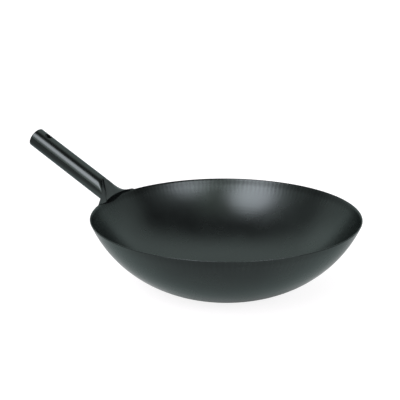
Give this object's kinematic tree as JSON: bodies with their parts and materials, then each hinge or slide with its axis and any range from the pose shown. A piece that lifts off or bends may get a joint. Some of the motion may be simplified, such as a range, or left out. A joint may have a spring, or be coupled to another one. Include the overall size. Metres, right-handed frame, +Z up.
{
  "type": "wok",
  "caption": "Deep round-sided black steel wok with a small flat base and a hollow, upward-sloping tube handle that has a hanging hole near its open end.",
  "frame": {"origin": "centre of the flat underside that the wok stands on", "axes": "+Z up along the bowl's axis, -X towards the handle's tip, the handle in the XZ plane"},
  "size_m": [0.4684, 0.33, 0.1689],
  "materials": {
    "bowl_steel": "satin black heat-proof coat on hammered steel",
    "handle_steel": "semi-gloss black coat on smooth steel",
    "weld_steel": "black coat on weld beads"
  },
  "bodies": {
    "root": {"bowl": "bowl_steel", "handle_neck": "bowl_steel", "handle_tube": "handle_steel", "neck_weld": "weld_steel", "tube_weld": "weld_steel"}
  },
  "joints": []
}
